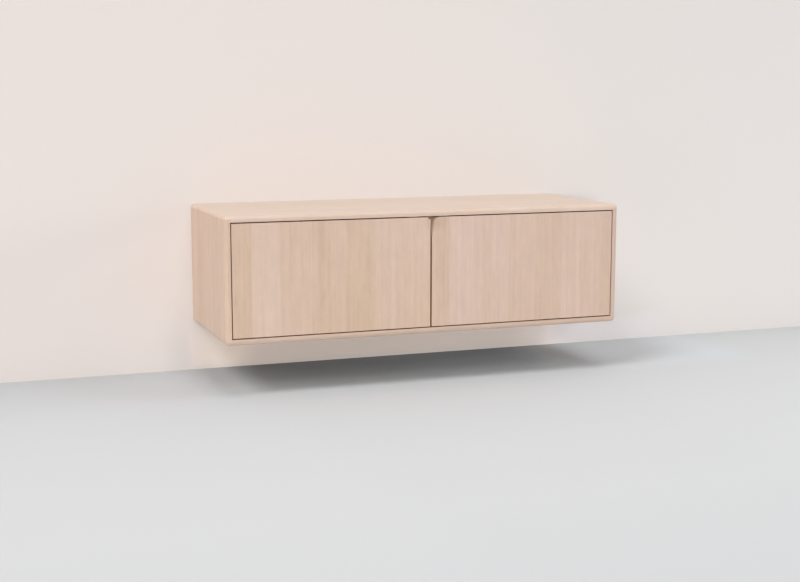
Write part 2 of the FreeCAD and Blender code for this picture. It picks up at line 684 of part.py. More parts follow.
# --------------------------------------------------------------------------
# magnetic catches, strikes and bumpers
# --------------------------------------------------------------------------
magnets = []
for side, s in (("left", -1), ("right", 1)):
    x = s * catch_mid
    case = box(side + "_catch_case", x - 14, x + 14, door_back + 2.5, door_back + 18, top_in - 12, top_in)
    foot = box(side + "_catch_foot", x - 24, x + 24, front + 24, front + 36, top_in - 3, top_in)
    magnet = box(side + "_magnet", x - 10, x + 10, door_back + 1.8, door_back + 12, top_in - 9, top_in - 4)
    magnets.append(magnet)
    cut(side + "_magnet_catch", fuse(side + "_catch_blank", [case, foot]), [magnet, holes["catch"]])
    plate = prism(side + "_strike_blank", "XZ_Plane", rectangle(x - 12, x + 12, door_top - 13, door_top - 1),
                  door_back, door_back + 1.2)
    round_edges(plate, side + "_strike_corners", 2,
                lambda e: e.BoundBox.XLength < 1e-6 and e.BoundBox.ZLength < 1e-6 and e.BoundBox.YLength > 0.5)
    sink = cone(side + "_strike_sink", x, door_back, top_in - 10, "y", 1.5, 2.9, 1.2)
    cut(side + "_strike_plate", plate, [sink])
catch_magnets = group("catch_magnets", magnets)
bumpers = []
for x in (-5.2, 5.2):
    for name, z in (("high", door_top - 90), ("low", door_bot + 40)):
        bumpers.append(cylinder("bumper_%s_%s" % ("left" if x < 0 else "right", name), x,
                                partition_front - 1.7, z, "y", 3, 1.7))
door_bumpers = group("door_bumpers", bumpers)


# --------------------------------------------------------------------------
# screws: one turned body of each sort, repeated at its positions
# --------------------------------------------------------------------------
def screw_body(label, head_radius, head_high, shank_radius, shank_long, sunk=0.0):
    """A pan-head or countersunk screw along Z, its head's seat at Z = 0, with a
    cross recess."""
    body = doc.addObject("PartDesign::Body", label)
    sk = sketch_on(body, label + "_section", "XZ_Plane", 0)
    if sunk:
        points = [(0, 0), (head_radius, 0), (shank_radius, -sunk), (shank_radius, -shank_long + 2.5), (0, -shank_long)]
    else:
        points = [(0, head_high), (head_radius * 0.62, head_high), (head_radius * 0.9, head_high * 0.66),
                  (head_radius, 0), (shank_radius, 0), (shank_radius, -shank_long + 2.5), (0, -shank_long)]
    polygon(sk, points)
    turn = body.newObject("PartDesign::Revolution", label + "_turned")
    turn.Profile = sk
    turn.ReferenceAxis = (sk, ["V_Axis"])
    turn.Angle = 360
    body.Tip = turn
    doc.recompute()
    arm = head_radius * 0.55
    wide = 0.35
    cross = sketch_on(body, label + "_cross", "XY_Plane", head_high if not sunk else 0)
    polygon(cross, [(-arm, -wide), (-wide, -wide), (-wide, -arm), (wide, -arm), (wide, -wide), (arm, -wide),
                    (arm, wide), (wide, wide), (wide, arm), (-wide, arm), (-wide, wide), (-arm, wide)])
    before = body.Shape.Volume
    recess = body.newObject("PartDesign::Pocket", label + "_recess")
    recess.Profile = cross
    recess.Length = min(1.2, head_high * 0.7) if not sunk else 0.8
    body.Tip = recess
    doc.recompute()
    if not body.Shape.Volume < before - 0.05:
        raise RuntimeError(label + " has no recess")
    return body


def screws(label, body, spots):
    """Copies of one screw, heads towards the given directions."""
    shapes = []
    for x, y, z, way in spots:
        copy = body.Shape.copy()
        copy.Placement = FreeCAD.Placement(V(q(x).v, q(y).v, q(z).v), FreeCAD.Rotation(V(0, 0, 1), way))
        shapes.append(copy)
    obj = doc.addObject("Part::Feature", label)
    obj.Shape = Part.makeCompound(shapes)
    return obj


screws("hinge_plate_screws", screw_body("plate_screw", 4.2, 2.0, *SCREW["plate"]), plate_screws)
screws("hinge_arm_screws", screw_body("arm_screw", 3.8, 2.0, *SCREW["arm"]), arm_screws)
cup_screw = screw_body("cup_screw", 3.4, 1.6, *SCREW["cup"])
screws("left_cup_screws", cup_screw, cup_screws["left"])
screws("right_cup_screws", cup_screw, cup_screws["right"])
screws("catch_screws", screw_body("catch_screw", 2.8, 1.6, *SCREW["catch"]), catch_screws)
strike_screw = screw_body("strike_screw", 2.9, 0.0, *SCREW["strike"], sunk=1.2)
screws("left_strike_screw", strike_screw, strike_screws[:1])
screws("right_strike_screw", strike_screw, strike_screws[1:])
screws("cabinet_rail_screws", screw_body("rail_screw", 4.0, 1.8, *SCREW["rail"]), rail_screws)

# --------------------------------------------------------------------------
# check and write
# --------------------------------------------------------------------------
doc.recompute()
for obj in doc.Objects:
    if "Invalid" in obj.State or "Error" in obj.State:
        raise RuntimeError("%s: %s" % (obj.Label, obj.State))

NODES = ["top_panel", "bottom_panel", "left_side_panel", "right_side_panel", "centre_partition", "back_panel",
         "mitre_splines", "partition_dowels", "stretcher_dowels", "hanging_stretcher", "cabinet_rail",
         "cabinet_rail_screws", "wall_rail", "left_shelf", "right_shelf", "shelf_pins", "left_door", "right_door",
         "hinge_plate_screws", "hinge_arm_screws", "left_cup_screws", "right_cup_screws", "left_magnet_catch",
         "right_magnet_catch", "catch_magnets", "catch_screws", "left_strike_plate", "right_strike_plate",
         "left_strike_screw", "right_strike_screw", "door_bumpers", "left_cable_grommet", "right_cable_grommet"]
for side in ("left", "right"):
    for level in ("upper", "lower"):
        for piece in ("cup", "arm", "plate", "pin"):
            NODES.append("%s_%s_hinge_%s" % (side, level, piece))

os.makedirs("parts", exist_ok=True)
for label in NODES:
    found = [o for o in doc.Objects if o.Label == label]
    if len(found) != 1:
        raise RuntimeError("%d objects are called %s" % (len(found), label))
    shape = found[0].Shape
    if shape.isNull() or not shape.isValid() or not shape.Solids:
        raise RuntimeError("bad shape: " + label)
    shape.exportStep(os.path.join("parts", label + ".step"))
    b = shape.BoundBox
    print("%-28s %2d solid(s) %10.1f mm3  x %.1f..%.1f y %.1f..%.1f z %.1f..%.1f"
          % (label, len(shape.Solids), shape.Volume, b.XMin, b.XMax, b.YMin, b.YMax, b.ZMin, b.ZMax))
print(len(NODES), "nodes written")
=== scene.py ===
import math

import bpy
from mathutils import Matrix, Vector


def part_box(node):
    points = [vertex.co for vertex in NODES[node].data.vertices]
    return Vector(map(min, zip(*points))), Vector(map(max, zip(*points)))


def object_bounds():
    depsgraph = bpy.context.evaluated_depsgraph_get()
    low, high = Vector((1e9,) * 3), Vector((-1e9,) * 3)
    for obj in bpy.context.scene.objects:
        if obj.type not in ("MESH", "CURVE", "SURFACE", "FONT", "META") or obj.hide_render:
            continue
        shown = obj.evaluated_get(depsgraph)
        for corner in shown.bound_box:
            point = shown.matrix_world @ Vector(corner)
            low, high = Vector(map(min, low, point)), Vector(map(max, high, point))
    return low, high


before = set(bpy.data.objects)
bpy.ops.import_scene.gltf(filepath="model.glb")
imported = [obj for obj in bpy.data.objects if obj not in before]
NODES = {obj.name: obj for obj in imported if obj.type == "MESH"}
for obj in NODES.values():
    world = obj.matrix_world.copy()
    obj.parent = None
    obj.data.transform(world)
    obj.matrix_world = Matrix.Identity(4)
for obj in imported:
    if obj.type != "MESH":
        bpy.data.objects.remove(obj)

bpy.context.view_layer.update()
CAD_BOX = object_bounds()
FRONT = CAD_BOX[0].y


# ---------------------------------------------------------------- node helpers
def linear(r, g, b):
    """A display colour, 0 to 255 each, as linear light."""
    out = []
    for c in (r, g, b):
        c = c / 255.0
        out.append(c / 12.92 if c <= 0.04045 else ((c + 0.055) / 1.055) ** 2.4)
    return (out[0], out[1], out[2], 1.0)


class Shader:
    """A short way to write a node tree: every call returns an output socket."""

    def __init__(self, name):
        self.mat = bpy.data.materials.new(name)
        self.mat.use_nodes = True
        self.tree = self.mat.node_tree
        self.tree.nodes.clear()
        self.out = self.tree.nodes.new("ShaderNodeOutputMaterial")
        self.bsdf = self.tree.nodes.new("ShaderNodeBsdfPrincipled")
        self.tree.links.new(self.bsdf.outputs[0], self.out.inputs[0])
        self.coord = self.tree.nodes.new("ShaderNodeTexCoord")

    def put(self, socket, value):
        if isinstance(value, bpy.types.NodeSocket):
            self.tree.links.new(value, socket)
        else:
            socket.default_value = value

    def math(self, op, a, b=0.0, c=0.0, clamp=False):
        n = self.tree.nodes.new("ShaderNodeMath")
        n.operation = op
        n.use_clamp = clamp
        self.put(n.inputs[0], a)
        self.put(n.inputs[1], b)
        self.put(n.inputs[2], c)
        return n.outputs[0]

    def add(self, a, b):
        return self.math("ADD", a, b)

    def mul(self, a, b):
        return self.math("MULTIPLY", a, b)

    def xyz(self, source=None):
        n = self.tree.nodes.new("ShaderNodeSeparateXYZ")
        self.put(n.inputs[0], source or self.coord.outputs["Object"])
        return n.outputs[0], n.outputs[1], n.outputs[2]

    def vec(self, x, y, z):
        n = self.tree.nodes.new("ShaderNodeCombineXYZ")
        for i, v in enumerate((x, y, z)):
            self.put(n.inputs[i], v)
        return n.outputs[0]

    def noise(self, vector, scale=1.0, detail=2.0, rough=0.5, twist=0.0):
        n = self.tree.nodes.new("ShaderNodeTexNoise")
        n.inputs["Scale"].default_value = scale
        n.inputs["Detail"].default_value = detail
        n.inputs["Roughness"].default_value = rough
        n.inputs["Distortion"].default_value = twist
        self.put(n.inputs["Vector"], vector)
        return n.outputs["Fac"]

    def cells(self, value, scale, random=1.0):
        """Random values, one per irregular strip along a line."""
        n = self.tree.nodes.new("ShaderNodeTexVoronoi")
        n.voronoi_dimensions = "1D"
        n.inputs["Scale"].default_value = scale
        n.inputs["Randomness"].default_value = random
        self.put(n.inputs["W"], value)
        s = self.tree.nodes.new("ShaderNodeSeparateColor")
        self.tree.links.new(n.outputs["Color"], s.inputs[0])
        return s.outputs[0], s.outputs[1]

    def band(self, value, lo, hi, out_lo=0.0, out_hi=1.0, smooth=True):
        n = self.tree.nodes.new("ShaderNodeMapRange")
        n.interpolation_type = "SMOOTHSTEP" if smooth else "LINEAR"
        n.clamp = True
        self.put(n.inputs["Value"], value)
        n.inputs["From Min"].default_value = lo
        n.inputs["From Max"].default_value = hi
        n.inputs["To Min"].default_value = out_lo
        n.inputs["To Max"].default_value = out_hi
        return n.outputs[0]

    def ramp(self, value, stops, kind="LINEAR"):
        n = self.tree.nodes.new("ShaderNodeValToRGB")
        n.color_ramp.interpolation = kind
        els = n.color_ramp.elements
        while len(els) < len(stops):
            els.new(0.5)
        for e, (pos, colour) in zip(els, stops):
            e.position = pos
            e.color = colour if len(colour) == 4 else (*colour, 1.0)
        self.put(n.inputs[0], value)
        return n.outputs[0]

    def mix(self, factor, a, b, mode="MIX"):
        n = self.tree.nodes.new("ShaderNodeMix")
        n.data_type = "RGBA"
        n.blend_type = mode
        self.put(n.inputs[0], factor)
        self.put(n.inputs[6], a)
        self.put(n.inputs[7], b)
        return n.outputs[2]

    def bump(self, height, distance, strength=1.0, normal=None):
        n = self.tree.nodes.new("ShaderNodeBump")
        n.inputs["Strength"].default_value = strength
        n.inputs["Distance"].default_value = distance
        self.put(n.inputs["Height"], height)
        if normal is not None:
            self.put(n.inputs["Normal"], normal)
        return n.outputs[0]

    def set(self, **values):
        names = {"color": "Base Color", "rough": "Roughness", "metal": "Metallic", "normal": "Normal", "ior": "IOR",
                 "specular": "Specular IOR Level", "coat": "Coat Weight", "coat_rough": "Coat Roughness",
                 "aniso": "Anisotropic", "sheen": "Sheen Weight", "subsurface": "Subsurface Weight"}
        for key, value in values.items():
            self.put(self.bsdf.inputs[names[key]], value)
        return self.mat


def grey(v):
    return (v, v, v, 1.0)


# ------------------------------------------------------------------- oak veneer
# Oak under a clear matt lacquer, laid up from leaves of straight-grained veneer.
# TAN and ROSE are the two ends of its tone: yellower and darker, pinker and paler.
OAK_MEAN = (0.582, 0.428, 0.336)
TAN = tuple(m * k for m, k in zip(OAK_MEAN, (0.944, 0.921, 0.874))) + (1.0,)
ROSE = tuple(m * k for m, k in zip(OAK_MEAN, (1.051, 1.073, 1.168))) + (1.0,)


def oak(name, along, across, through, leaves=None, origin=0.0, seed=0.0, leaf_width=0.078, tone=0.0, ends=False,
        soft=0.003, tint=(1.0, 1.0, 1.0), edges=None, inside=None, hollow=None, fall=None,
        front=None, under=None, hue=1.0, figure=1.0, scoop_shade=None):
    """along, across and through name the axes X, Y or Z of the grain, of the face's
    width and of the board's thickness. leaves lists (edge, tone, lean) along the across
    axis, counted from origin, where lean is how much paler a leaf gets upwards; without
    it the strips are irregular and random. edges
    colours the narrow faces: browner lipping, in part painted shade for the gaps; inside = (axis, sign, colour) paints
    shade on the face turned inwards, hollow = (reach, z0, z1, depth, colour) paints shade into the finger pull's
    hollow, and fall = (from, to, factor, factor) grades the tone across the panel. front paints shade on the
    strip that faces the room, under paints light on the rounding below it. hue weighs how far the strips
    differ in colour, figure how far they and the growth lines differ in lightness.
    scoop_shade = (far, near, factor) paints shade on the face beside the finger pull, as a shallow scoop there would
    be shaded."""
    s = Shader(name)
    x, y, z = s.xyz()
    axis = {"X": x, "Y": y, "Z": z}
    A, T, L = axis[across], axis[through], axis[along]
    nx, ny, nz = s.xyz(s.coord.outputs["Normal"])
    facing = {"X": nx, "Y": ny, "Z": nz}
    if ends:
        # the two ends are edged with a strip whose grain runs along that edge
        n_end = facing[along]
        on_end = s.math("GREATER_THAN", s.math("ABSOLUTE", n_end), 0.72)
        keep = s.math("SUBTRACT", 1.0, on_end)
        A, L = s.add(s.mul(A, keep), s.mul(L, on_end)), s.add(s.mul(L, keep), s.mul(A, on_end))
    A0 = s.add(A, -origin)

    # the grain wanders a little from straight
    drift = s.noise(s.vec(s.mul(A0, 2.5), s.mul(T, 2.5), s.add(s.mul(L, 1.1), seed)), 1.0, 2.0)
    wob = s.noise(s.vec(s.mul(A0, 16.0), s.mul(T, 16.0), s.add(s.mul(L, 3.2), seed + 7.0)), 1.0, 2.0)
    A1 = s.add(A0, s.add(s.mul(s.add(drift, -0.5), 0.016), s.mul(s.add(wob, -0.5), 0.0035)))

    if leaves:
        span = leaves[-1][0]
        stops, blurred, leans = [], [], []
        for i, (edge, value, lean) in enumerate(leaves[:-1]):
            leans.append((edge / span, grey(0.5 + lean)))
            stops.append((edge / span, grey(0.5 + value)))
            half = min(soft, (leaves[i + 1][0] - edge) * 0.45)
            if i:
                blurred.append(((edge + half) / span, grey(0.5 + value)))
            else:
                blurred.append((0.0, grey(0.5 + value)))
            last = leaves[i + 1][0] if i == len(leaves) - 2 else leaves[i + 1][0] - half
            blurred.append((last / span, grey(0.5 + value)))
        place = s.math("DIVIDE", A0, span)
        jump = s.mul(s.ramp(place, stops, "CONSTANT"), 37.0)
        leaf = s.add(s.ramp(s.math("DIVIDE", A1, span), blurred), -0.5)
        lean = s.add(s.ramp(s.math("DIVIDE", A1, span), leans), -0.5)
        leaf = s.add(leaf, s.mul(lean, s.band(z, -0.26, 0.07, -1.0, 1.0, smooth=False)))
    else:
        r1, r2 = s.cells(s.add(A0, 3.0 + seed), 1.0 / leaf_width, 0.55)
        leaf = s.mul(s.add(r1, -0.5), 0.5)
        jump = s.mul(r2, 29.0)

    # growth lines: broad ones some 8 mm apart, finer ones of 2 to 3 mm, hair lines below 1 mm
    B = s.add(A1, s.mul(jump, 0.37))
    broad = s.noise(s.vec(s.mul(B, 95.0), s.mul(T, 60.0), s.add(s.mul(L, 1.3), jump)), 1.0, 2.0, 0.5)
    bands = s.noise(s.vec(s.mul(B, 38.0), s.mul(T, 38.0), s.add(s.mul(L, 0.9), s.mul(jump, 1.3))), 1.0, 1.0, 0.5)
    # the figure comes and goes along the grain
    fade = s.noise(s.vec(s.mul(B, 55.0), s.mul(T, 55.0), s.add(s.mul(L, 19.0), jump)), 1.0, 2.0, 0.6)
    lines = s.noise(s.vec(s.mul(B, 330.0), s.mul(T, 330.0), s.add(s.mul(L, 3.5), jump)), 1.0, 3.0, 0.6)
    hairs = s.noise(s.vec(s.mul(B, 1500.0), s.mul(T, 1500.0), s.mul(L, 16.0)), 1.0, 2.0, 0.6)
    cloud = s.noise(s.vec(s.mul(A0, 7.0), s.mul(T, 7.0), s.add(s.mul(L, 2.6), seed + 3.0)), 1.0, 2.0, 0.5)
    # open pores: thin dashes along the grain
    pores = s.noise(s.vec(s.mul(A1, 2600.0), s.mul(T, 2600.0), s.mul(L, 70.0)), 1.0, 1.0, 0.5)
    pores = s.band(pores, 0.60, 0.72)
    pores = s.mul(pores, s.band(lines, 0.42, 0.62))
    # medullary rays: short pale flecks across the grain
    rays = s.noise(s.vec(s.mul(A1, 260.0), s.mul(T, 260.0), s.mul(L, 190.0)), 1.0, 2.0, 0.5, 0.6)
    rays = s.mul(s.band(rays, 0.60, 0.72), s.band(cloud, 0.45, 0.62))

    t = s.add(0.5 + tone, s.mul(leaf, 0.84 * hue))
    t = s.add(t, s.mul(s.add(broad, -0.5), 0.24 * hue))
    t = s.add(t, s.mul(s.add(cloud, -0.5), 0.58 * hue))
    t = s.math("ADD", t, 0.0, clamp=True)
    colour = s.mix(t, TAN, ROSE)
    # the growth lines darken and lighten the wood rather than tint it, and a few stand out
    fine = s.add(s.mul(s.add(lines, -0.5), 0.20 * figure), s.mul(s.add(hairs, -0.5), 0.12))
    fine = s.add(fine, s.add(s.mul(s.add(broad, -0.5), 0.105 * figure), s.mul(s.add(bands, -0.5), 0.075 * figure)))
    fine = s.add(fine, s.add(s.mul(s.add(fade, -0.5), 0.18), s.mul(leaf, 0.03 + 0.122 * (1.0 - hue))))
    streak = s.noise(s.vec(s.mul(B, 210.0), s.mul(T, 210.0), s.add(s.mul(L, 2.2), s.mul(jump, 1.7))), 1.0, 1.0, 0.5)
    fine = s.add(fine, s.add(s.mul(s.band(streak, 0.64, 0.74), -0.045), s.mul(s.band(streak, 0.36, 0.27), 0.03)))
    fine = s.add(1.0, fine)
    colour = s.mix(1.0, colour, s.vec(fine, fine, fine), "MULTIPLY")
    colour = s.mix(s.mul(pores, 0.34), colour, (0.40, 0.262, 0.180, 1.0))
    colour = s.mix(s.mul(rays, 0.22), colour, (0.70, 0.545, 0.44, 1.0))
    if tint != (1.0, 1.0, 1.0):
        colour = s.mix(1.0, colour, (*tint, 1.0), "MULTIPLY")
    if edges:
        # solid lipping on the narrow faces, a browner wood than the veneer, and painted shade: its darker colour also
        # stands for the shade in the gaps round the doors
        on_face = s.band(s.math("ABSOLUTE", facing[through]), 0.10, 0.50)
        colour = s.mix(on_face, s.mix(1.0, colour, (*edges, 1.0), "MULTIPLY"), colour)
    if hollow:
        # painted shade in the finger pull's hollow, darker the deeper it lies
        reach, z0, z1, deep, shade = hollow
        hollow_shade = s.mul(s.band(x, reach, reach - 0.004), s.band(z, z0, z1))
        hollow_shade = s.mul(hollow_shade, s.band(y, FRONT + 0.0005, FRONT + deep, smooth=False))
        # the painted shade fades again at the hollow's shallow top
        hollow_shade = s.mul(hollow_shade, s.math("MAXIMUM", s.band(z, 0.070, 0.048), s.band(y, FRONT + 0.003, FRONT + 0.010, smooth=False)))
        colour = s.mix(hollow_shade, colour, s.mix(1.0, colour, (*shade, 1.0), "MULTIPLY"))
    if scoop_shade:
        # painted shade beside the finger pull, as a shallow scoop there would be shaded: none at the gap, fading out
        # between near and far, growing towards the top
        far, near, shade = scoop_shade
        aside = s.math("ABSOLUTE", x)
        scoop_shade_mask = s.mul(s.mul(s.band(aside, 0.0, 0.008), s.band(aside, far, near)), s.band(z, 0.020, 0.050))
        colour = s.mix(scoop_shade_mask, colour, s.mix(1.0, colour, grey(shade), "MULTIPLY"))
    if front:
        # painted shade on the panel's front strip, darkened against the light its rounding catches
        shown = s.band(s.mul(ny, -1.0), 0.20, 0.75)
        colour = s.mix(shown, colour, s.mix(1.0, colour, (*front, 1.0), "MULTIPLY"))
    if under:
        # painted light on the rounding below the front strip, which is made paler
        shown = s.mul(s.band(s.mul(nz, -1.0), 0.15, 0.65), s.band(s.mul(ny, -1.0), 0.05, 0.35))
        colour = s.mix(shown, colour, s.mix(1.0, colour, (*under, 1.0), "MULTIPLY"))
    if fall:
        k = s.band(A, *fall, smooth=False)
        colour = s.mix(1.0, colour, s.vec(k, k, k), "MULTIPLY")
    if inside:
        # painted shade: the faces turned inwards are darker and browner, for the shade in the reveals and inside the
        # cabinet; they are also matt
        toward, sign, shade = inside
        inside_shade_mask = s.band(s.mul(facing[toward], sign), 0.30, 0.80)
        colour = s.mix(inside_shade_mask, colour, s.mix(1.0, colour, (*shade, 1.0), "MULTIPLY"))
    rough = s.add(0.43, s.add(s.mul(pores, 0.16), s.add(s.mul(s.add(lines, -0.5), 0.10), s.mul(rays, -0.06))))
    if edges:
        rough = s.add(rough, s.math("MULTIPLY_ADD", on_face, -0.42, 0.42))
    if inside:
        rough = s.add(rough, s.mul(inside_shade_mask, 0.42))
    height = s.add(s.mul(lines, 0.35), s.add(s.mul(hairs, 0.22), s.mul(pores, -0.9)))
    normal = s.bump(height, 0.00012, 0.55)
    return s.set(color=colour, rough=rough, normal=normal)


# The doors' strips, from the left edge of each door, in metres: the same veneer
# sequence runs on both, with small differences.
LEFT_LEAVES = [(0.0, -0.22, 0.06), (0.054, -0.36, 0.06), (0.058, 0.28, 0.05), (0.141, 0.05, 0.05), (0.168, 0.02, 0.03),
               (0.205, 0.14, 0.05), (0.251, -0.20, 0.07), (0.292, -0.05, 0.07), (0.338, -0.24, 0.06),
               (0.428, 0.13, 0.10), (0.506, 0.02, 0.12), (0.560, 0.02, 0.13), (0.602, 0.0, 0.0)]
RIGHT_LEAVES = [(0.0, -0.36, 0.0), (0.054, -0.44, 0.0), (0.058, 0.26, 0.03), (0.141, 0.02, 0.06), (0.168, 0.0, 0.03),
                (0.205, 0.16, 0.06), (0.251, -0.14, 0.11), (0.292, -0.05, 0.10), (0.338, -0.28, 0.12),
                (0.428, 0.13, 0.02), (0.506, 0.04, 0.04), (0.560, -0.20, 0.07), (0.602, 0.0, 0.0)]


def paint(material, *names):
    for name in names:
        o = NODES[name]
        if not o.material_slots:
            o.data.materials.append(material)
        for slot in o.material_slots:
            slot.material = material


# Strips of the left side, counted from the doors to the wall, and of the top.
SIDE_LEAVES = [(0.0, 0.14, 0.0), (0.07, -0.12, 0.0), (0.13, 0.06, 0.0), (0.16, 0.17, 0.0), (0.22, 0.03, 0.0),
               (0.27, 0.10, 0.0), (0.31, -0.04, 0.0), (0.335, -0.26, 0.0), (0.375, 0.05, 0.0), (0.39, 0.22, 0.0),
               (0.43, 0.0, 0.0), (0.47, 0.0, 0.0)]
TOP_LEAVES = [(0.0, 0.10, 0.0), (0.05, 0.02, 0.0), (0.09, 0.12, 0.0), (0.17, 0.10, 0.0), (0.24, 0.06, 0.0),
              (0.29, -0.03, 0.0), (0.40, 0.04, 0.0), (0.44, 0.12, 0.0), (0.47, 0.0, 0.0)]
# narrow faces: browner lipping, darkened further as painted shade for the gaps round the doors
LIPPING_AND_SHADE = (0.80, 0.655, 0.53)
# inner faces: painted shade, darker and browner
INSIDE_SHADE = (0.96, 0.87, 0.78)

# the left door: painted shade on the face beside the finger pull
paint(oak("oak_left_door", "Z", "X", "Y", LEFT_LEAVES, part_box("left_door")[0].x, 1.0, ends=True,
          edges=LIPPING_AND_SHADE, tint=(1.0, 0.997, 0.958), scoop_shade=(0.030, 0.010, 0.92)), "left_door")
# the right door: painted shade in its finger pull's hollow and on the face beside it
paint(oak("oak_right_door", "Z", "X", "Y", RIGHT_LEAVES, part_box("right_door")[0].x, 5.0, tone=0.03, ends=True,
          figure=1.2, edges=LIPPING_AND_SHADE, hollow=(0.034, 0.008, 0.062, 0.011, (0.74, 0.67, 0.58)),
          fall=(0.0, 0.07, 1.05, 1.0), scoop_shade=(0.060, 0.020, 0.865)), "right_door")
# the top: painted light, paler and greyer than the doors for the sheen it catches; painted shade on its front strip
# and inner face
paint(oak("oak_top", "X", "Y", "Z", TOP_LEAVES, FRONT, 2.0, soft=0.012, tint=(1.005, 1.08, 1.10), fall=(-0.40, -0.06, 1.018, 0.968),
          inside=("Z", -1.0, INSIDE_SHADE), front=(0.99, 0.95, 0.935)), "top_panel")
# the bottom: painted light on its lower front rounding; painted shade on its inner face
paint(oak("oak_bottom", "X", "Y", "Z", None, 0.0, 12.0, 0.11, inside=("Z", 1.0, INSIDE_SHADE),
          under=(1.13, 1.19, 1.24)), "bottom_panel")
# the sides: painted light, lighter and more saturated than the doors for the light and reflection they catch; painted
# shade on their front strips and inner faces
paint(oak("oak_left_side", "Z", "Y", "X", SIDE_LEAVES, FRONT, 4.0, soft=0.012, tint=(1.09, 1.08, 1.02), hue=0.25, figure=2.0,
          inside=("X", 1.0, INSIDE_SHADE), front=(0.91, 0.905, 0.905)), "left_side_panel")
paint(oak("oak_right_side", "Z", "Y", "X", SIDE_LEAVES, FRONT, 9.0, soft=0.012, tint=(1.09, 1.08, 1.02), hue=0.25, figure=2.0,
          inside=("X", -1.0, INSIDE_SHADE), front=(0.83, 0.865, 0.92)), "right_side_panel")
paint(oak("oak_partition", "Z", "Y", "X", None, 0.0, 14.0, 0.09), "centre_partition")
paint(oak("oak_left_shelf", "X", "Y", "Z", None, 0.0, 21.0, 0.10, ends=True), "left_shelf")
paint(oak("oak_right_shelf", "X", "Y", "Z", None, 0.0, 27.0, 0.10, ends=True), "right_shelf")
paint(oak("oak_back", "X", "Z", "Y", None, 0.0, 33.0, 0.12), "back_panel")


# ------------------------------------------------------------------------ beech
def beech(name, along):
    s = Shader(name)
    x, y, z = s.xyz()
    axes = {"X": (y, z, x), "Y": (x, z, y), "Z": (x, y, z)}[along]
    A, T, L = axes
    broad = s.noise(s.vec(s.mul(A, 60.0), s.mul(T, 60.0), s.mul(L, 1.5)), 1.0, 3.0, 0.55)
    fine = s.noise(s.vec(s.mul(A, 900.0), s.mul(T, 900.0), s.mul(L, 9.0)), 1.0, 2.0, 0.5)
    fleck = s.band(s.noise(s.vec(s.mul(A, 1300.0), s.mul(T, 1300.0), s.mul(L, 260.0)), 1.0, 1.0), 0.60, 0.70)
    t = s.math("ADD", s.add(0.1, s.mul(broad, 0.6)), s.mul(fine, 0.3), clamp=True)
    colour = s.mix(t, (0.52, 0.355, 0.235, 1.0), (0.68, 0.50, 0.355, 1.0))
    colour = s.mix(s.mul(fleck, 0.5), colour, (0.42, 0.27, 0.17, 1.0))
    normal = s.bump(s.add(fine, s.mul(fleck, -0.6)), 0.0001, 0.5)
    return s.set(color=colour, rough=s.add(0.55, s.mul(fine, 0.12)), normal=normal)


paint(beech("beech_x", "X"), "hanging_stretcher", "stretcher_dowels")
paint(beech("beech_y", "Y"), "mitre_splines")
paint(beech("beech_z", "Z"), "partition_dowels")


# ------------------------------------------------------------------------ metal
def steel(name, base, rough, along="X", streak=0.08, spots=0.0):
    """Plated sheet steel: rolled streaks, faint clouds in the plating, fine scratches."""
    s = Shader(name)
    x, y, z = s.xyz()
    A, T, L = {"X": (y, z, x), "Y": (x, z, y), "Z": (x, y, z)}[along]
    roll = s.noise(s.vec(s.mul(A, 1400.0), s.mul(T, 1400.0), s.mul(L, 22.0)), 1.0, 3.0, 0.6)
    cloud = s.noise(s.vec(s.mul(A, 60.0), s.mul(T, 60.0), s.mul(L, 45.0)), 1.0, 3.0, 0.55)
    scratch = s.noise(s.vec(s.mul(A, 240.0), s.mul(T, 240.0), s.mul(L, 700.0)), 1.0, 1.0, 0.5, 1.2)
    scratch = s.band(scratch, 0.66, 0.74)
    dark = tuple(c * 0.84 for c in base[:3]) + (1.0,)
    colour = s.mix(s.band(cloud, 0.32, 0.68), dark, base)
    colour = s.mix(s.mul(roll, streak * 2.0), colour, grey(0.85))
    if spots:
        colour = s.mix(s.mul(s.band(cloud, 0.55, 0.75), spots), colour, (0.62, 0.63, 0.70, 1.0))
    r = s.add(rough, s.add(s.mul(s.add(cloud, -0.5), 0.18), s.add(s.mul(s.add(roll, -0.5), 0.12), s.mul(scratch, 0.15))))
    normal = s.bump(s.add(roll, s.mul(scratch, -0.7)), 0.00003, 0.5)
    return s.set(color=colour, rough=r, normal=normal, metal=1.0)


ZINC = (0.70, 0.70, 0.69, 1.0)
NICKEL = (0.78, 0.755, 0.71, 1.0)
paint(steel("zinc_rail", ZINC, 0.40, "X", 0.06, 0.35), "wall_rail", "cabinet_rail")
paint(steel("zinc_screw", ZINC, 0.34, "Y", 0.04, 0.30), "cabinet_rail_screws")
paint(steel("nickel_sheet_z", NICKEL, 0.24, "Z"), *[n for n in NODES if n.endswith(("hinge_cup", "hinge_plate", "hinge_pin"))])
paint(steel("nickel_sheet_y", NICKEL, 0.26, "Y"), *[n for n in NODES if n.endswith("hinge_arm")])
paint(steel("nickel_screw", NICKEL, 0.28, "Y", 0.04), "hinge_plate_screws", "hinge_arm_screws", "left_cup_screws",
      "right_cup_screws", "catch_screws", "left_strike_screw", "right_strike_screw", "shelf_pins")
paint(steel("nickel_strike", NICKEL, 0.32, "X", 0.06), "left_strike_plate", "right_strike_plate")


